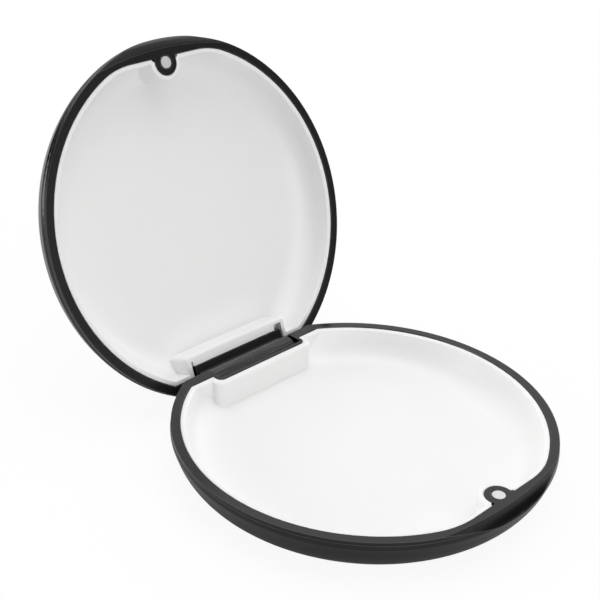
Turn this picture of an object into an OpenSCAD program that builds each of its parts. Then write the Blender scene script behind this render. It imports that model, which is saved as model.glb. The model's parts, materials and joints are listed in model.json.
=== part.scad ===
// Slim round retainer case: two shells on one hinge, a tray in each, and a pair of magnets as the latch.
// The base stands on z = 0 with the hinge at the back (+Y) and the finger scoop at the front (-Y).
// The lid is drawn at its open stop.

/* [Shells] */
// Outer diameter at the rims, before their edges are rounded
case_d = 84.8; // [72:0.4:110]
// Depth of one shell, from its flat face to its rim
half_depth = 10.5; // [9.5:0.1:16]
// Lean of the outer wall from the rim inwards, in degrees
wall_lean = 19; // [8:0.5:22]
// Outer radius between the wall and the flat face
corner_r = 10; // [7:0.1:10.4]
// Width of the rim, which is also the thickness of the wall
rim_w = 2.65; // [2.2:0.05:3.4]
// Thickness of the flat face
shell_floor = 2; // [1.2:0.1:2.5]
// Radius along the outer edge of the rim
edge_r = 1.6; // [1:0.1:2]
// How far that radius would rise past the rim, which cuts it off at an edge
edge_rise = 0.1; // [0.05:0.05:0.3]
// Gap between the two rims when the case is closed
rim_gap = 0.15; // [0.1:0.05:0.5]

/* [Finger scoop] */
// How far the scoop's upper edge lies inside the outline of the case
scoop_depth = 3; // [2.4:0.1:3.4]
// Radius of the roll from that edge down to the wall
scoop_roll_r = 3.3; // [2.8:0.1:4]
// Radius of the flatter outline along which the roll runs
scoop_r = 78; // [60:1:110]
// Width of the rim behind the scoop
scoop_wall = 1.9; // [1.4:0.05:2.6]
// Radius of the blends between the straight inner front and the round wall
front_blend_r = 20; // [14:0.5:24]

/* [Trays] */
// Thickness of a tray's wall
tray_wall = 1.1; // [0.8:0.1:1.6]
// Thickness of a tray's floor
tray_floor = 1.5; // [1:0.1:2]
// Clearance between a tray and its shell
tray_gap = 0.1; // [0.05:0.05:0.3]
// How far a tray's edge lies below the rim
tray_drop = 0.15; // [0.05:0.05:0.6]
// Radius along the outer edge of a tray
tray_edge_r = 0.1; // [0.05:0.05:0.3]
// Thickness of the tray's wall in front of the hinge pocket
tray_pocket_wall = 1.5; // [1:0.1:2.2]
// Radius of the base tray's upright corners round the hinge pocket
base_tray_corner_r = 2.2; // [1.6:0.1:3]
// Radius of the lid tray's upright corners round the hinge pocket
lid_tray_corner_r = 0.8; // [0.5:0.1:1.2]
// Diameter of the reliefs in a tray's inner corners
relief_d = 1.3; // [0.8:0.1:1.6]
// Depth of those reliefs
relief_depth = 1.8; // [1:0.1:3]

/* [Hinge] */
// Distance of the hinge axis inside the outline of the case
hinge_inset = 6.4; // [5.4:0.1:8]
// Distance of the hinge axis below the base's rim
hinge_drop = 3.1; // [2.8:0.1:4]
// Distance of the flat back behind the hinge axis
flat_offset = 0.8; // [0.4:0.1:1.6]
// Thickness of the flat back wall
back_wall = 2.5; // [2:0.1:3]
// Diameter of the lid's knuckle
knuckle_d = 6; // [5:0.1:6.2]
// Width of the lid's knuckle
knuckle_w = 24.2; // [16:0.2:26]
// Clearance at the -X end of the knuckle
knuckle_left_gap = 0.2; // [0.15:0.05:0.8]
// Clearance at the +X end of the knuckle
knuckle_right_gap = 0.8; // [0.2:0.05:1]
// Clearance round the knuckle in its pocket
knuckle_gap = 0.4; // [0.2:0.05:0.6]
// Radius of the blend between the knuckle and the lid
knuckle_blend_r = 0.7; // [0.3:0.05:1]
// Thickness of the walls of the hinge pocket
pocket_wall = 0.8; // [0.6:0.1:1.4]
// Radius of the base's upright corners round the hinge pocket
base_box_corner_r = 1.5; // [0.8:0.1:1.8]
// Radius of the same corners in the lid
lid_box_corner_r = 0.4; // [0.2:0.1:0.8]
// Diameter of the base's ears round the pin
ear_d = 5.6; // [4.6:0.1:5.8]
// Diameter of the hinge pin
pin_d = 2; // [1.5:0.1:2.4]
// Length of the hinge pin
pin_len = 35; // [30:0.5:37]
// Radial clearance of the pin in the knuckle
pin_run_gap = 0.04; // [0.02:0.01:0.08]
// Radial clearance of the pin in the ears
pin_seat_gap = 0.01; // [0.01:0.01:0.02]
// How far the lid opens, in degrees
open_angle = 112; // [95:1:120]
// Gap between the lid's leaf and its stop when the lid is open
stop_gap = 0.15; // [0.1:0.05:0.4]

/* [Magnets] */
// Diameter of a magnet
magnet_d = 3; // [2:0.1:4]
// Thickness of a magnet
magnet_h = 2; // [1:0.1:4]
// Radial clearance of a magnet in its hole
magnet_gap = 0.15; // [0.05:0.05:0.3]
// How far a magnet lies below the rim
magnet_drop = 0.05; // [0.05:0.05:0.3]
// Wall of the tab round the magnet's hole
tab_wall = 1.25; // [1:0.05:2]
// Distance of the magnet's centre from the wall behind the scoop
tab_reach = 1.3; // [1:0.1:3]

/* [Hidden] */
$fn = 96;

shell_colour = "#1d1d1f";
tray_colour = "#f3f3f1";
magnet_colour = "#c9c9cb";
pin_colour = "#9a9da1";

// Length by which cutting shapes run past what they cut
over = 1;
// How far an arc runs past the straight it blends into, so that the two cross cleanly
ease = 0.001;
// The same for the large arcs at the front
blend_ease = 0.02;
case_r = case_d / 2;
knuckle_r = knuckle_d / 2;
inside_r = case_r - rim_w;

// Places in a shell's own frame: the flat face at z = 0 and the rim at half_depth
axis_y = case_r - hinge_inset;
axis_z = half_depth - hinge_drop;
flat_y = axis_y + flat_offset;
back_inner_y = flat_y - back_wall;
scoop_edge_y = -(case_r - scoop_depth);
front_inner_y = scoop_edge_y + scoop_wall;
magnet_y = front_inner_y + tab_reach;
magnet_hole_r = magnet_d / 2 + magnet_gap;
tab_r = magnet_hole_r + tab_wall;

// Centres of the blends at the inner front, which touch the straight front and the round wall
blend_y = front_inner_y + front_blend_r;
blend_reach = inside_r - front_blend_r;
blend_x = sqrt(pow(blend_reach, 2) - pow(blend_y, 2));

// The hinge pocket, which is open in the base and solid in the lid
pocket_half_w = (knuckle_left_gap + knuckle_w + knuckle_right_gap) / 2;
knuckle_x = (knuckle_left_gap - knuckle_right_gap) / 2;
pocket_front_y = axis_y - knuckle_r - knuckle_gap;
box_half_w = pocket_half_w + pocket_wall;
box_front_y = pocket_front_y - pocket_wall;

// The trays follow the inside of the shells
tray_offset = tray_gap + tray_wall;
tray_floor_z = shell_floor + tray_gap;
tray_rim_z = half_depth - tray_drop;
lid_mid_z = half_depth + rim_gap / 2;

// Distance from the hinge axis to the lid's rim when closed, and the centre of the knuckle's blend
lid_rim_up = hinge_drop + rim_gap;
blend_up = lid_rim_up - knuckle_blend_r;
blend_out = sqrt(pow(knuckle_r + knuckle_blend_r, 2) - pow(blend_up, 2));

// Radius at which a bowl's rounded corner has its centre
function corner_centre(rim_r, floor_z, corner) =
    rim_r - (half_depth - floor_z - corner * (1 - sin(wall_lean))) * tan(wall_lean) - corner * cos(wall_lean);

// Half section of a bowl with a leaning wall, a rounded corner and a rounded edge that rises past the top
module bowl_section(rim_r, floor_z, corner, top_z, edge, rise) {
    top_r = rim_r + (top_z - half_depth) * tan(wall_lean);
    corner_x = corner_centre(rim_r, floor_z, corner);
    edge_z = top_z - edge + rise;
    edge_x = top_r - (top_z - edge_z) * tan(wall_lean) - edge / cos(wall_lean);
    intersection() {
        polygon([
            [0, floor_z],
            [top_r - (top_z - floor_z) * tan(wall_lean), floor_z],
            [top_r, top_z],
            [0, top_z]
        ]);
        union() {
            polygon([
                [0, floor_z],
                [corner_x, floor_z],
                [corner_x, floor_z + corner],
                [corner_x + corner * cos(wall_lean), floor_z + corner * (1 - sin(wall_lean))],
                [edge_x + edge * cos(wall_lean), edge_z - edge * sin(wall_lean)],
                [edge_x, edge_z],
                [edge_x, top_z],
                [0, top_z]
            ]);
            translate([corner_x, floor_z + corner]) circle(corner + ease);
            translate([edge_x, edge_z]) circle(edge + ease);
        }
    }
}

module bowl(rim_r, floor_z, corner, top_z, edge, rise) {
    rotate_extrude($fn = 180) bowl_section(rim_r, floor_z, corner, top_z, edge, rise);
}

// Outer form of a shell
module outer_bowl() {
    bowl(case_r, 0, corner_r, half_depth, edge_r, edge_rise);
}

// Block that spans the case in X, between two places in Y and in Z
module slab(y0, y1, z0, z1) {
    translate([-case_r, y0, z0]) cube([case_d, y1 - y0, z1 - z0]);
}

// Block centred on X, between two places in Y and in Z
module bar(half_w, y0, y1, z0, z1) {
    translate([-half_w, y0, z0]) cube([2 * half_w, y1 - y0, z1 - z0]);
}

// Bar along the hinge from a section drawn with the axis at its origin
module along_hinge(length, middle_x) {
    translate([middle_x - length / 2, axis_y, axis_z]) rotate([90, 0, 90]) linear_extrude(length) children();
}

// Round bar along the hinge axis
module axle(r, length) {
    translate([-length / 2, axis_y, axis_z]) rotate([0, 90, 0]) cylinder(r = r, h = length);
}

// Plan of the space inside a shell: a straight front with blends at its ends, and the flat back
module inside_plan(inset) {
    blend_r = front_blend_r - inset;
    touch_y = blend_y * (1 + blend_r / blend_reach);
    translate([-case_r, touch_y]) square([case_d, back_inner_y - inset - touch_y]);
    translate([-blend_x, front_inner_y + inset]) square([2 * blend_x, blend_r]);
    for (side = [-1, 1])
        translate([side * blend_x, blend_y]) circle(blend_r + blend_ease, $fn = 180);
}

// Space inside a shell, drawn in by inset, up to top_z
module cavity(inset, floor_z, top_z) {
    intersection() {
        bowl(inside_r - inset, floor_z, corner_r - rim_w - inset, top_z, tray_edge_r, 0);
        translate([0, 0, floor_z]) linear_extrude(top_z - floor_z) inside_plan(inset);
    }
}

// Round-ended tongue that holds the magnet, grown by grow
module tab(grow, z0, z1) {
    translate([0, magnet_y, z0]) cylinder(r = tab_r + grow + ease, h = z1 - z0);
    bar(tab_r + grow, scoop_edge_y + scoop_wall / 2, magnet_y, z0, z1);
}

// Block against the flat back with rounded upright corners at its front
module back_block(half_w, front_y, corner, z0, z1) {
    for (side = [-1, 1])
        translate([side * (half_w - corner), front_y + corner, z0])
            cylinder(r = corner + ease, h = z1 - z0);
    bar(half_w - corner, front_y, flat_y, z0, z1);
    bar(half_w, front_y + corner, flat_y, z0, z1);
}

// Block of the hinge pocket, grown by grow
module hinge_box(grow, corner, z0, z1) {
    back_block(box_half_w + grow, box_front_y - grow, corner + grow, z0, z1);
}

// The tray's wall round the hinge pocket
module tray_hinge_wall(corner, z0, z1) {
    back_block(box_half_w + tray_offset, box_front_y - tray_gap - tray_pocket_wall, corner, z0, z1);
}

// What the finger scoop takes off the rim: all that lies outside a flatter outline with a rolled edge
module scoop() {
    roll_z = half_depth - scoop_roll_r + edge_rise;
    roll_y = scoop_edge_y + sqrt(pow(scoop_roll_r, 2) - pow(scoop_roll_r - edge_rise, 2));
    difference() {
        slab(-case_r - over, 0, shell_floor, half_depth + over);
        translate([0, roll_y + scoop_r, 0]) rotate_extrude($fn = 180) {
            square([scoop_r, half_depth + 2 * over]);
            square([scoop_r + scoop_roll_r, roll_z]);
            translate([scoop_r, roll_z]) circle(scoop_roll_r + ease);
        }
    }
}

module magnet() {
    color(magnet_colour)
        translate([0, magnet_y, half_depth - magnet_drop - magnet_h]) cylinder(d = magnet_d, h = magnet_h);
}

// What both shells share. The children are kept behind the flat back.
module half_shell(box_corner) {
    difference() {
        union() {
            difference() {
                outer_bowl();
                difference() {
                    slab(flat_y, case_r + over, -over, half_depth + over);
                    children();
                }
                cavity(0, shell_floor, half_depth + over);
            }
            intersection() {
                union() {
                    tab(0, shell_floor / 2, half_depth);
                    hinge_box(0, box_corner, shell_floor / 2, half_depth);
                }
                outer_bowl();
            }
        }
        scoop();
        translate([0, magnet_y, half_depth - magnet_drop - magnet_h])
            cylinder(r = magnet_hole_r, h = magnet_drop + magnet_h + over);
    }
}

// A shell's tray. The children are cut from its inner corners.
module half_tray(box_corner, wall_corner) {
    difference() {
        cavity(tray_gap, tray_floor_z, tray_rim_z);
        difference() {
            cavity(tray_offset, tray_floor_z + tray_floor, half_depth + over);
            tab(tray_offset, 0, half_depth + 2 * over);
            tray_hinge_wall(wall_corner, 0, half_depth + 2 * over);
        }
        tab(tray_gap, 0, half_depth + over);
        hinge_box(tray_gap, box_corner, 0, half_depth + over);
        children();
    }
}

// Pair of round reliefs sunk into a tray's edge, one at each side
module reliefs(out_x, y) {
    for (side = [-1, 1])
        translate([side * out_x, y, tray_rim_z - relief_depth])
            cylinder(d = relief_d, h = relief_depth + over);
}

// Reliefs in the corners where a tray meets the magnet's tab
module tab_reliefs() {
    reliefs(tab_r + tray_gap, front_inner_y + tray_gap);
}

// Reliefs in the front corners of the lid tray's hinge pocket
module pocket_reliefs() {
    reliefs(box_half_w + tray_gap - relief_d / 2, box_front_y - tray_gap);
}

// The slot in the base's back through which the lid's leaf swings, down to its stop
module knuckle_pocket() {
    pocket_r = knuckle_r + knuckle_gap;
    along_hinge(2 * pocket_half_w, 0) {
        circle(pocket_r + ease);
        translate([-pocket_r, 0]) square([pocket_r + hinge_inset, hinge_drop + over]);
        rotate(-open_angle) square([knuckle_r + stop_gap, half_depth + hinge_inset]);
    }
}

// The pin's hole through the ears, open at the +X end, where the pin goes in
module pin_bore() {
    translate([-pin_len / 2, axis_y, axis_z]) rotate([0, 90, 0])
        cylinder(r = pin_d / 2 + pin_seat_gap, h = pin_len / 2 + case_r);
}

// Section of the lid's knuckle and leaf, seen along the hinge, with the axis at the origin
module knuckle_section() {
    difference() {
        union() {
            circle(knuckle_r + ease);
            square([knuckle_r, lid_rim_up + half_depth]);
            polygon([[0, 0], [-blend_out, blend_up], [-blend_out, lid_rim_up], [0, lid_rim_up]]);
        }
        translate([-blend_out, blend_up]) circle(knuckle_blend_r + 2 * ease);
        circle(pin_d / 2 + pin_run_gap);
    }
}

module knuckle() {
    along_hinge(knuckle_w, knuckle_x) knuckle_section();
}

// From a shell's own frame to the closed lid's place
module closed_lid() {
    translate([0, 0, 2 * lid_mid_z]) mirror([0, 0, 1]) children();
}

// From the closed lid's place to its open stop
module opened() {
    translate([0, axis_y, axis_z]) rotate([-open_angle, 0, 0]) translate([0, -axis_y, -axis_z]) children();
}

module base_shell() {
    color(shell_colour) difference() {
        half_shell(base_box_corner_r) axle(ear_d / 2, case_d);
        knuckle_pocket();
        pin_bore();
    }
}

module base_tray() {
    color(tray_colour) half_tray(base_box_corner_r, base_tray_corner_r) tab_reliefs();
}

module base_magnet() {
    magnet();
}

module hinge_pin() {
    color(pin_colour) axle(pin_d / 2, pin_len);
}

module lid_shell() {
    color(shell_colour) opened() {
        closed_lid() half_shell(lid_box_corner_r) translate([knuckle_x, 0, 0])
            bar(knuckle_w / 2, flat_y, axis_y + knuckle_r, -over, half_depth + over);
        intersection() {
            knuckle();
            union() {
                closed_lid() outer_bowl();
                slab(0, case_r, 0, 2 * lid_mid_z - half_depth + edge_r);
            }
        }
    }
}

module lid_tray() {
    color(tray_colour) opened() closed_lid() half_tray(lid_box_corner_r, lid_tray_corner_r) {
        tab_reliefs();
        pocket_reliefs();
    }
}

module lid_magnet() {
    opened() closed_lid() magnet();
}

base_shell();
base_tray();
base_magnet();
hinge_pin();
lid_shell();
lid_tray();
lid_magnet();
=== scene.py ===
import json
import math

import bpy
from mathutils import Matrix, Vector


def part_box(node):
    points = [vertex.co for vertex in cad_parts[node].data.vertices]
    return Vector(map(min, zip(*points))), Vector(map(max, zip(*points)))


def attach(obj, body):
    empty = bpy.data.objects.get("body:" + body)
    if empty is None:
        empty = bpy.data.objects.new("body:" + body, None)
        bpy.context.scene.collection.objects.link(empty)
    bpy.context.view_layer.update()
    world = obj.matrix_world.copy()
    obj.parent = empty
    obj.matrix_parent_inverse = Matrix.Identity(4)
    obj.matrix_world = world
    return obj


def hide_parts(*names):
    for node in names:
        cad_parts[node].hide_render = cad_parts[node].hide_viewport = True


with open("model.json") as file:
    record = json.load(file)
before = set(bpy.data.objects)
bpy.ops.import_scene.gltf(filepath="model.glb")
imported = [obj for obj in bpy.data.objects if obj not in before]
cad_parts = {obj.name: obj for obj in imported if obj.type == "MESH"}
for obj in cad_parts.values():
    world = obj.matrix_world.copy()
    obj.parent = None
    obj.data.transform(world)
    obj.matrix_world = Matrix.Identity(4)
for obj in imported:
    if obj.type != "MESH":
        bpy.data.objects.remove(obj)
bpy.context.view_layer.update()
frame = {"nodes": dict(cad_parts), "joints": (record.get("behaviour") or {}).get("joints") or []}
mm = 0.001
print("frame loaded:", ", ".join(sorted(frame["nodes"])))

# in mm: a shell's rim above its flat face, and the gap between the two rims
seam = {"rim": 10.5, "gap": 0.15}

# the closed lid is the base's mirror across the seam, and rests swung open about the hinge
hinge = frame["joints"][0]
axis = Vector(hinge["pos_m"])
lidFace = (2 * seam["rim"] + seam["gap"]) * mm
closed = Matrix.Translation((0, 0, lidFace)) @ Matrix.Diagonal((1, 1, -1, 1))
opened = Matrix.Rotation(-math.radians(hinge["range_deg"][1]), 4, "X")
openLid = Matrix.Translation(axis) @ opened @ Matrix.Translation(-axis) @ closed


class Wire:  # a socket whose arithmetic adds Math nodes
    def __init__(self, shader, socket):
        self.shader = shader
        self.socket = socket

    def calc(self, operation, first, second):
        return self.shader.add("ShaderNodeMath", {"operation": operation}, {0: first, 1: second})

    def __add__(self, other):
        return self.calc("ADD", self, other)

    def __radd__(self, other):
        return self.calc("ADD", other, self)

    def __sub__(self, other):
        return self.calc("SUBTRACT", self, other)

    def __rsub__(self, other):
        return self.calc("SUBTRACT", other, self)

    def __mul__(self, other):
        return self.calc("MULTIPLY", self, other)

    def __rmul__(self, other):
        return self.calc("MULTIPLY", other, self)


class Shader:  # a node tree that starts empty
    def __init__(self, owner):
        owner.use_nodes = True
        self.tree = owner.node_tree
        self.tree.nodes.clear()

    # any node: its type, its settings, then its sockets' values or links
    def add(self, kind, settings=None, sockets=None, out=0):
        node = self.tree.nodes.new(kind)
        for name, value in (settings or {}).items():
            setattr(node, name, value)
        for name, value in (sockets or {}).items():
            if isinstance(value, Wire):
                self.tree.links.new(value.socket, node.inputs[name])
            else:
                node.inputs[name].default_value = value
        return Wire(self, node.outputs[out]) if node.outputs else node

    # smooth step from 0 at low to 1 at high
    def step(self, value, low, high):
        span = {"Value": value, "From Min": low, "From Max": high, "To Min": 0.0, "To Max": 1.0}
        return self.add("ShaderNodeMapRange", {"interpolation_type": "SMOOTHSTEP"}, span)

    def noise(self, place, size, detail=2.0, roughness=0.5):
        look = {"Vector": place, "Scale": 1 / size, "Detail": detail, "Roughness": roughness}
        return self.add("ShaderNodeTexNoise", {"noise_dimensions": "3D"}, look, out="Fac")

    def vector(self, operation, first, second=(0, 0, 0), out="Vector"):
        return self.add("ShaderNodeVectorMath", {"operation": operation}, {0: first, 1: second}, out=out)

    # 1 along the sharp edges, and the normal of edges softened over this width
    def edges(self, width, low, high):
        soft = self.add("ShaderNodeBevel", {"samples": 6}, {"Radius": width})
        plain = self.add("ShaderNodeNewGeometry", out="Normal")
        return self.step(1 - self.vector("DOT_PRODUCT", soft, plain, out="Value"), low, high), soft

    def blend(self, share, first, second):
        mix = {"Factor": share, 6: first, 7: second}
        return self.add("ShaderNodeMix", {"data_type": "RGBA"}, mix, out=2)


def plainMaterial(name):
    material = bpy.data.materials.new(name)
    return material, Shader(material)


def closeMaterial(shader, surface):
    shader.add("ShaderNodeOutputMaterial", None, {"Surface": surface})


# black moulded shells: spark-eroded satin grain, with a little handling on it, painted highlights along the
# edges and the knuckle, and a painted sheen on the rims
# each From pair is where a mark begins and where it is full
shellLook = {
    "tone": (0.0034, 0.0034, 0.0036, 1),
    "rubbed": (0.0055, 0.0055, 0.0058, 1),
    "rubbedFrom": (0.45, 0.75),
    "cloud": 9 * mm,
    "grain": 0.16 * mm,
    "grainDepth": 0.004 * mm,
    "grainRoughness": 0.05,
    "roughness": 0.20,
    "roughnessSpread": 0.05,
    "ior": 1.46,
    "edgeWidth": 0.14 * mm,
    "edgeFrom": (0.001, 0.006),
    "edgeHighlightTone": (0.100, 0.100, 0.103, 1),   # painted highlight along the sharp edges, a lighter grey
    "edgeHighlightShare": 0.7,
    "barrel": (3.05 * mm, 12.2 * mm),       # radius and half length of the knuckle, which gets painted highlight streaks
    "barrelFade": 0.2 * mm,
    "streak": 0.45 * mm,
    "streakDraw": (0.02, 1, 1),             # drawn out along the hinge
    "streakFrom": (0.35, 0.70),
    # painted highlight streaks on the knuckle, a lighter grey; they are rougher too
    "streakHighlightTone": (0.060, 0.060, 0.062, 1),
    "streakRoughness": 0.12,
    "rimSheenFrom": (-0.06 * mm, -0.012 * mm),
}
rimSheenTones = {   # painted sheen: the rim faces are greyer, the lid's the more so
    "base": (0.008, 0.008, 0.008, 1),
    "lid": (0.016, 0.016, 0.016, 1),
}


def makeShellPlastic(look, half, seat):
    material, shader = plainMaterial(half + "ShellPlastic")
    place = shader.add("ShaderNodeTexCoord", out="Object")
    grain = shader.noise(place, look["grain"], detail=3.0, roughness=0.6)
    cloud = shader.noise(place, look["cloud"], detail=4.0)
    tone = shader.blend(shader.step(cloud, *look["rubbedFrom"]), look["tone"], look["rubbed"])

    # height above the rim, whose face gets a painted sheen, a greyer tone
    rim = seat @ Vector((0, 0, seam["rim"] * mm))
    facing = (seat.to_3x3() @ Vector((0, 0, 1))).normalized()
    level = shader.vector("DOT_PRODUCT", shader.vector("SUBTRACT", place, rim), facing, out="Value")
    # painted sheen on the rim face
    tone = shader.blend(shader.step(level, *look["rimSheenFrom"]), tone, rimSheenTones[half])
    edge, soft = shader.edges(look["edgeWidth"], *look["edgeFrom"])
    # painted highlight: the sharp edges a lighter grey
    tone = shader.blend(look["edgeHighlightShare"] * edge, tone, look["edgeHighlightTone"])

    # distances from the hinge's axis and along it, for the knuckle
    fromAxis = shader.vector("SUBTRACT", place, axis)
    across = shader.vector("LENGTH", shader.vector("MULTIPLY", fromAxis, (0, 1, 1)), out="Value")
    along = shader.vector("LENGTH", shader.vector("MULTIPLY", fromAxis, (1, 0, 0)), out="Value")
    radius, halfLength = look["barrel"]
    fade = look["barrelFade"]
    barrel = shader.step(across, radius + fade, radius) * shader.step(along, halfLength + fade, halfLength)
    drawn = shader.vector("MULTIPLY", fromAxis, look["streakDraw"])
    streaks = shader.step(shader.noise(drawn, look["streak"], detail=4.0, roughness=0.7), *look["streakFrom"])
    # painted highlight streaks along the knuckle, also rougher
    sheenStreaks = barrel * streaks
    tone = shader.blend(sheenStreaks, tone, look["streakHighlightTone"])

    uneven = look["roughnessSpread"] * (cloud - 0.5) + look["grainRoughness"] * (grain - 0.5)
    relief = shader.add("ShaderNodeBump", None, {
        "Height": grain,
        "Strength": 1.0,
        "Distance": look["grainDepth"],
        "Normal": soft,
    })
    surface = shader.add("ShaderNodeBsdfPrincipled", None, {
        "Base Color": tone,
        "Roughness": look["roughness"] + uneven + look["streakRoughness"] * sheenStreaks,
        "IOR": look["ior"],
        "Normal": relief,
    })
    closeMaterial(shader, surface)
    return material


# white polished trays: even tone, soft gloss, hair-fine wipe marks
trayLook = {
    "tone": (0.905, 0.905, 0.900, 1),
    "shade": (0.885, 0.885, 0.882, 1),
    "flow": 14 * mm,
    "grain": 0.25 * mm,
    "grainDepth": 0.0015 * mm,
    "wipe": 1.6 * mm,
    "wipeTurn": (0.2, 0.1, math.radians(35)),
    "wipeDraw": (1.0, 0.06, 1.0),
    "wipeFrom": (0.62, 0.72),
    "wipeRoughness": 0.06,
    "roughness": 0.34,
    "roughnessSpread": 0.08,
    "ior": 1.49,
}


def makeTrayPlastic(look):
    material, shader = plainMaterial("trayPlastic")
    place = shader.add("ShaderNodeTexCoord", out="Object")
    flow = shader.noise(place, look["flow"], detail=3.0)
    grain = shader.noise(place, look["grain"], detail=2.0)
    drawn = shader.add("ShaderNodeMapping", {"vector_type": "POINT"}, {
        "Vector": place,
        "Rotation": look["wipeTurn"],
        "Scale": look["wipeDraw"],
    })
    wipes = shader.step(shader.noise(drawn, look["wipe"], detail=4.0, roughness=0.7), *look["wipeFrom"])
    relief = shader.add("ShaderNodeBump", None, {
        "Height": grain,
        "Strength": 1.0,
        "Distance": look["grainDepth"],
    })
    uneven = look["roughnessSpread"] * (flow - 0.5) + look["wipeRoughness"] * wipes
    surface = shader.add("ShaderNodeBsdfPrincipled", None, {
        "Base Color": shader.blend(flow, look["tone"], look["shade"]),
        "Roughness": look["roughness"] + uneven,
        "IOR": look["ior"],
        "Normal": relief,
    })
    closeMaterial(shader, surface)
    return material


# nickel-plated magnets: a dull bright face with fine pits, and a painted shade line round its edge, where the
# gap to the tab is dark
magnetLook = {
    "tone": (0.76, 0.755, 0.745, 1),
    "worn": (0.62, 0.615, 0.60, 1),
    "wornFrom": (0.45, 0.7),
    "pit": 0.18 * mm,
    "pitDepth": 0.006 * mm,
    "roughness": 0.50,
    "roughnessSpread": 0.15,
    "metallic": 0.5,
    # painted shade: a dark line round the magnet's edge
    "gapShadeWidth": 0.34 * mm,
    "gapShadeFrom": (0.002, 0.02),
    "gapShadeTone": (0.004, 0.004, 0.004, 1),
}


def makeMagnetMetal(look):
    material, shader = plainMaterial("magnetMetal")
    place = shader.add("ShaderNodeTexCoord", out="Object")
    pits = shader.noise(place, look["pit"], detail=3.0, roughness=0.65)
    tone = shader.blend(shader.step(pits, *look["wornFrom"]), look["tone"], look["worn"])
    # painted shade round the magnet's edge, dark and fully metallic
    gapShade = shader.edges(look["gapShadeWidth"], *look["gapShadeFrom"])[0]
    relief = shader.add("ShaderNodeBump", None, {
        "Height": pits,
        "Strength": 1.0,
        "Distance": look["pitDepth"],
    })
    surface = shader.add("ShaderNodeBsdfPrincipled", None, {
        "Base Color": shader.blend(gapShade, tone, look["gapShadeTone"]),
        "Metallic": look["metallic"] + (1 - look["metallic"]) * gapShade,
        "Roughness": look["roughness"] + look["roughnessSpread"] * (pits - 0.5),
        "Normal": relief,
    })
    closeMaterial(shader, surface)
    return material


# drawn steel pin: streaks along the hinge
pinLook = {
    "tone": (0.52, 0.52, 0.53, 1),
    "dark": (0.36, 0.36, 0.37, 1),
    "streak": 0.12 * mm,
    "streakDraw": (0.03, 1.0, 1.0),
    "roughness": 0.28,
    "roughnessSpread": 0.2,
}


def makePinSteel(look):
    material, shader = plainMaterial("pinSteel")
    place = shader.add("ShaderNodeTexCoord", out="Object")
    drawn = shader.add("ShaderNodeMapping", {"vector_type": "POINT"}, {
        "Vector": place,
        "Scale": look["streakDraw"],
    })
    streaks = shader.noise(drawn, look["streak"], detail=3.0)
    surface = shader.add("ShaderNodeBsdfPrincipled", None, {
        "Base Color": shader.blend(streaks, look["tone"], look["dark"]),
        "Metallic": 1.0,
        "Roughness": look["roughness"] + look["roughnessSpread"] * (streaks - 0.5),
    })
    closeMaterial(shader, surface)
    return material


trayPlastic = makeTrayPlastic(trayLook)
magnetMetal = makeMagnetMetal(magnetLook)
finishes = {
    "base_shell": makeShellPlastic(shellLook, "base", Matrix.Identity(4)),
    "base_tray": trayPlastic,
    "base_magnet": magnetMetal,
    "hinge_pin": makePinSteel(pinLook),
    "lid_shell": makeShellPlastic(shellLook, "lid", openLid),
    "lid_tray": trayPlastic,
    "lid_magnet": magnetMetal,
}
for node, obj in frame["nodes"].items():
    obj.data.materials.clear()
    obj.data.materials.append(finishes[node])
print("finishes given to", len(finishes), "pieces")


def solid(name, points, faces):
    mesh = bpy.data.meshes.new(name)
    mesh.from_pydata(points, [], faces)
    obj = bpy.data.objects.new(name, mesh)
    bpy.context.scene.collection.objects.link(obj)
    return obj


# a closed solid through rings of the same number of points, lowest first
def loft(name, rings):
    count = len(rings[0])
    points = [point for ring in rings for point in ring]
    faces = [tuple(reversed(range(count))), tuple(range(len(points) - count, len(points)))]
    for low in range(0, len(points) - count, count):
        for side in range(count):
            after = (side + 1) % count
            faces.append((low + side, low + after, low + count + after, low + count + side))
    return solid(name, points, faces)


# an outline of (x, y) for each (shift, z) on the way up
def stack(name, outline, levels):
    return loft(name, [[(x, y, z) for x, y in outline(shift)] for shift, z in levels])


def turned(name, profile, steps):
    rings = []
    for radius, z in profile:
        turns = [2 * math.pi * step / steps for step in range(steps)]
        rings.append([(radius * math.cos(turn), radius * math.sin(turn), z) for turn in turns])
    return loft(name, rings)


def arc(x, y, radius, start, end, steps):
    turns = [math.radians(start + (end - start) * step / steps) for step in range(steps + 1)]
    return [(x + radius * math.cos(turn), y + radius * math.sin(turn)) for turn in turns]


def circle(x, y, radius, steps):
    return arc(x, y, radius, 0, 360 - 360 / steps, steps - 1)


def mirrored(right):
    return right + [(-x, y) for x, y in reversed(right)]


def combine(target, tool, how):
    cut = target.modifiers.new("cut", "BOOLEAN")
    cut.operation = how
    cut.solver = "MANIFOLD"
    cut.object = tool
    shapes = bpy.context.evaluated_depsgraph_get()
    mesh = bpy.data.meshes.new_from_object(target.evaluated_get(shapes))
    target.modifiers.clear()
    target.data = mesh
    bpy.data.objects.remove(tool)


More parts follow.
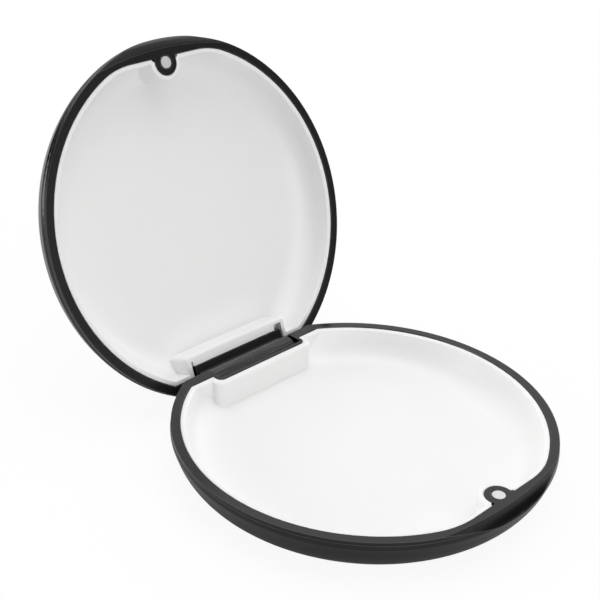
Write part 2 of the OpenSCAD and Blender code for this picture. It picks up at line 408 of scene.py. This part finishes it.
# white trays with soft lips, in mm in a shell's own frame: flat face at z = 0, rim at the top, scoop at -Y
trayForm = {
    "inside": 39.75,          # radius inside the shell at its rim
    "insideCorner": 7.35,     # radius between the shell's wall and floor
    "lean": math.radians(19),
    "front": -37.5,           # straight front inside the shell
    "back": 34.3,             # flat back inside the shell
    "frontBlend": 20.0,
    "gap": 0.1,               # between the shell and the tray
    "wall": 1.1,
    "floor": 1.5,
    "lip": {"base": 0.65, "lid": 0.45},   # radius along the inner edges
    "trim": 0.1,              # radius along the outer edges
    "lipSweep": 84,           # degrees of the lips' arcs, which leave a fine edge at the top
    "tabPlace": -36.2,
    "tabRadius": 2.9,
    "tabRelief": (0.65, 1.8),             # radius and depth
    "slotHalfWidth": {"base": 13.4, "lid": 14.0},
    "slotFront": 31.8,
    "slotCorner": {"base": 1.5, "lid": 0.4},
    "boxWall": {"base": 1.5, "lid": 2.4},   # the box is the wall round the hinge's slot
    "boxEnd": {"base": 1.1, "lid": 1.3},
    "boxCorner": {"base": 2.2, "lid": 0.9},
    "slotNotches": {"base": {}, "lid": {-1: (0.5, 1.2, 2.2), 1: (2.3, 1.4, 2.2)}},   # width, reach and depth
    "notchCorner": 0.2,
    "holdFloor": 0.6,         # from a bend to the loop that holds the flat floor
    "holdWall": 0.2,          # from a lip to the loop that holds the wall
    "pole": 0.01,             # radius at the middle of a turned form
    "past": {"top": 1.5, "floor": 1, "side": 4, "edge": 3},   # how far the cutters reach past the tray
    "steps": {"turn": 240, "corner": 18, "blend": 16, "lip": 8, "trim": 6,
              "tab": 48, "relief": 36, "box": 10, "notch": 6},
}


def buildTray(name, half, low, top, form):
    past, steps = form["past"], form["steps"]
    lean, sweep = form["lean"], form["lipSweep"]
    gap, trim, lip = form["gap"], form["trim"], form["lip"][half]
    inset = gap + form["wall"]
    over = top + past["top"]
    under = low - past["floor"]

    # shift and height up a plain wall, then round an edge of this radius that ends at the top
    def edged(radius, sense=1):
        centre = top - radius * math.sin(math.radians(sweep))
        bend = [(sense * (radius - x), centre + z) for x, z in arc(0, 0, radius, 0, sweep, steps["lip"])]
        return [(0, under), (0, centre - form["holdWall"])] + bend + [(bend[-1][0], over)]

    # radius of the leaning wall at a height
    def leaning(shift, z):
        return form["inside"] - shift - (seam["rim"] - z) * math.tan(lean)

    # a bowl's floor and its corner, up to where the leaning wall begins
    def bowl(shift, floor):
        corner = form["insideCorner"] - shift
        x = leaning(shift, floor + corner * (1 - math.sin(lean))) - corner * math.cos(lean)
        bend = arc(x, floor + corner, corner, -90, -math.degrees(lean), steps["corner"])
        return [(form["pole"], floor), (x - form["holdFloor"], floor)] + bend

    def outerBowl():
        centreZ = top - trim
        centreX = leaning(gap, centreZ) - trim / math.cos(lean)
        bend = arc(centreX, centreZ, trim, -math.degrees(lean), 90, steps["trim"])
        return turned("outerBowl", bowl(gap, low) + bend + [(form["pole"], top)], steps["turn"])

    def innerBowl():
        start = 180 - math.degrees(lean)
        centreZ = top - lip * math.sin(math.radians(sweep))
        touchZ = centreZ + lip * math.sin(lean)
        centreX = leaning(inset, touchZ) + lip * math.cos(lean)
        bend = arc(centreX, centreZ, lip, start, 180 - sweep, steps["lip"])
        holdZ = touchZ - form["holdWall"]
        wall = bowl(inset, low + form["floor"]) + [(leaning(inset, holdZ), holdZ)] + bend
        return turned("innerBowl", wall + [(bend[-1][0], over), (form["pole"], over)], steps["turn"])

    # straight front, its two blends, then wide of the round wall to the flat back
    def insidePlan(shift):
        blendY = form["front"] + form["frontBlend"]
        reach = form["inside"] - form["frontBlend"]
        blendX = math.sqrt(reach ** 2 - blendY ** 2)
        touch = math.degrees(math.atan2(blendY, blendX))
        bend = arc(blendX, blendY, form["frontBlend"] - shift, -90, touch, steps["blend"])
        wide = form["inside"] + past["side"]
        return mirrored(bend + [(wide, bend[-1][1]), (wide, form["back"] - shift)])

    def tabPlan(radius):
        front = form["front"] - past["edge"]
        return [(radius, front)] + arc(0, form["tabPlace"], radius, 0, 180, steps["tab"]) + [(-radius, front)]

    def boxPlan(halfWidth, front, corner):
        bend = arc(halfWidth - corner, front + corner, corner, -90, 0, steps["box"])
        return mirrored(bend + [(halfWidth, form["back"] + past["edge"])])

    def notchPlan(left, right, front, corner):
        ahead = arc(right - corner, front + corner, corner, -90, 0, steps["notch"])
        behind = arc(left + corner, front + corner, corner, 180, 270, steps["notch"])
        return ahead + [(right, form["back"]), (left, form["back"])] + behind

    tabEdge = form["tabRadius"] + gap
    tabWall = tabEdge + form["wall"]
    slotEnd = form["slotHalfWidth"][half] + gap
    slotFront = form["slotFront"] - gap
    slotCorner = form["slotCorner"][half] + gap
    boxEnd = slotEnd + form["boxEnd"][half]
    boxFront = slotFront - form["boxWall"][half]
    boxCorner = form["boxCorner"][half]

    # the space inside the tray
    space = innerBowl()
    spacePlan = stack("spacePlan", lambda shift: insidePlan(inset + shift), edged(lip, -1))
    combine(space, spacePlan, "INTERSECT")
    tab = stack("tab", lambda shift: tabPlan(tabWall - shift), edged(lip))
    combine(space, tab, "DIFFERENCE")
    box = stack("box", lambda shift: boxPlan(boxEnd - shift, boxFront + shift, boxCorner - shift), edged(lip))
    combine(space, box, "DIFFERENCE")

    # the tray round that space, then the cuts for the shell's tab and the hinge
    tray = outerBowl()
    trayPlan = stack("trayPlan", lambda shift: insidePlan(gap + shift), edged(trim))
    combine(tray, trayPlan, "INTERSECT")
    combine(tray, space, "DIFFERENCE")
    tabCut = stack("tabCut", lambda shift: tabPlan(tabEdge - shift), edged(trim, -1))
    combine(tray, tabCut, "DIFFERENCE")
    slot = stack("slot", lambda shift: boxPlan(slotEnd - shift, slotFront + shift, slotCorner - shift),
                 edged(trim, -1))
    combine(tray, slot, "DIFFERENCE")

    def sink(plan, depth):
        combine(tray, stack("sunk", lambda shift: plan, [(0, top - depth), (0, over)]), "DIFFERENCE")

    radius, depth = form["tabRelief"]
    for x in (-tabEdge, tabEdge):
        sink(circle(x, form["front"] + gap, radius, steps["relief"]), depth)
    for side, (width, reach, depth) in form["slotNotches"][half].items():
        left, right = sorted((side * slotEnd, side * (slotEnd - width)))
        sink(notchPlan(left, right, slotFront - reach, form["notchCorner"]), depth)
    tray.name = name
    return tray


# a tray stands for the node of its half, base or lid, and rides on the body of that name
def placeTray(half, seat):
    node = half + "_tray"
    low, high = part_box("base_tray")
    tray = buildTray(node + "_soft", half, low.z / mm, high.z / mm, trayForm)
    tray.data.transform(seat @ Matrix.Scale(mm, 4))
    if seat.determinant() < 0:
        tray.data.flip_normals()
    tray.data.shade_smooth()
    tray.data.set_sharp_from_angle(angle=math.radians(28))
    tray.data.materials.clear()
    tray.data.materials.append(finishes[node])
    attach(tray, half)
    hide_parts(node)
    print("tray built:", tray.name, len(tray.data.polygons), "faces")


placeTray("base", Matrix.Identity(4))
placeTray("lid", openLid)

# studio: softboxes on a dark room, each with its bearing from +X, its height, its level and its half width
studio = {
    "room": 0.02,
    "softboxes": {
        "above": (0, 90, 2.68, 30),
        "overCamera": (250, 60, 0.25, 60),
        "frontLeft": (250, 5, 2.45, 30),
        "front": (280, 10, 0.43, 30),
        "frontHigh": (280, 50, 1.21, 30),
        "right": (0, 10, 2.10, 30),
        "rightHigh": (10, 30, 0.53, 30),
        "rightOver": (346, 51, 0.52, 23),
        "left": (150, 5, 4.90, 30),
        "sweepBehind": (70, 40, 1.22, 45),
    },
    "coreOfSoftbox": 5,                   # half width of the even part in the middle
    "shineOfWhite": 0.02,                 # share of the white background in mirrored rays
    "floorSize": 12.0,
    "floorDrop": 0.02 * mm,
    "floorTone": (0.62, 0.62, 0.62, 1),   # as it lights the case
    "floorSeen": (0.95, 0.95, 0.95, 1),   # as the camera sees it
    "floorGlow": 0.92,
    "floorShine": 0.01,
}


def rayKind(shader, kind):
    return shader.add("ShaderNodeLightPath", out=kind)


def mirroredRay(shader):
    return rayKind(shader, "Is Glossy Ray") + rayKind(shader, "Is Transmission Ray")


def lightStudio(look):
    world = bpy.data.worlds.new("studio")
    bpy.context.scene.world = world
    shader = Shader(world)
    direction = shader.add("ShaderNodeTexCoord", out="Generated")
    core = math.cos(math.radians(look["coreOfSoftbox"]))
    level = look["room"]
    for bearing, height, strength, halfWidth in look["softboxes"].values():
        turn, rise = math.radians(bearing), math.radians(height)
        centre = (math.cos(turn) * math.cos(rise), math.sin(turn) * math.cos(rise), math.sin(rise))
        facing = shader.vector("DOT_PRODUCT", direction, centre, out="Value")
        level = level + strength * shader.step(facing, math.cos(math.radians(halfWidth)), core)
    white = rayKind(shader, "Is Camera Ray") + look["shineOfWhite"] * mirroredRay(shader)
    glow = shader.add("ShaderNodeBackground", None, {
        "Color": (1, 1, 1, 1),
        "Strength": white + (1 - white) * level,
    })
    shader.add("ShaderNodeOutputWorld", None, {"Surface": glow})


def layFloor(look):
    material, shader = plainMaterial("floorPaper")
    seen = rayKind(shader, "Is Camera Ray")
    paper = shader.add("ShaderNodeBsdfDiffuse", None, {
        "Color": shader.blend(seen, look["floorTone"], look["floorSeen"]),
    })
    white = shader.add("ShaderNodeEmission", None, {"Color": (1, 1, 1, 1), "Strength": 1.0})
    share = look["floorGlow"] * seen + look["floorShine"] * mirroredRay(shader)
    closeMaterial(shader, shader.add("ShaderNodeMixShader", None, {0: share, 1: paper, 2: white}))
    half = look["floorSize"] / 2
    corners = [(-half, -half, 0), (half, -half, 0), (half, half, 0), (-half, half, 0)]
    floor = solid("floor", corners, [(0, 1, 2, 3)])
    floor.data.materials.append(material)
    floor.location.z = -look["floorDrop"]


lightStudio(studio)
layFloor(studio)
print("studio lit")

# camera: where the photograph was taken from, in a frame 600 pixels square
view = {
    "place": (-167.01 * mm, -143.02 * mm, 156.85 * mm),
    "aim": (-2.09 * mm, 18.88 * mm, 32.36 * mm),
    "roll": math.radians(2.27),
    "lens": 72.98,
    "sensor": 36.0,
    "near": 10 * mm,
    "far": 10,
}


def setCamera(look):
    data = bpy.data.cameras.new("camera")
    data.lens = look["lens"]
    data.sensor_width = look["sensor"]
    data.clip_start = look["near"]
    data.clip_end = look["far"]
    camera = bpy.data.objects.new("camera", data)
    bpy.context.scene.collection.objects.link(camera)
    gaze = Vector(look["aim"]) - Vector(look["place"])
    turn = gaze.to_track_quat("-Z", "Y").to_matrix() @ Matrix.Rotation(look["roll"], 3, "Z")
    camera.matrix_world = Matrix.Translation(look["place"]) @ turn.to_4x4()
    bpy.context.scene.camera = camera


setCamera(view)
bpy.context.scene.view_settings.view_transform = "Standard"
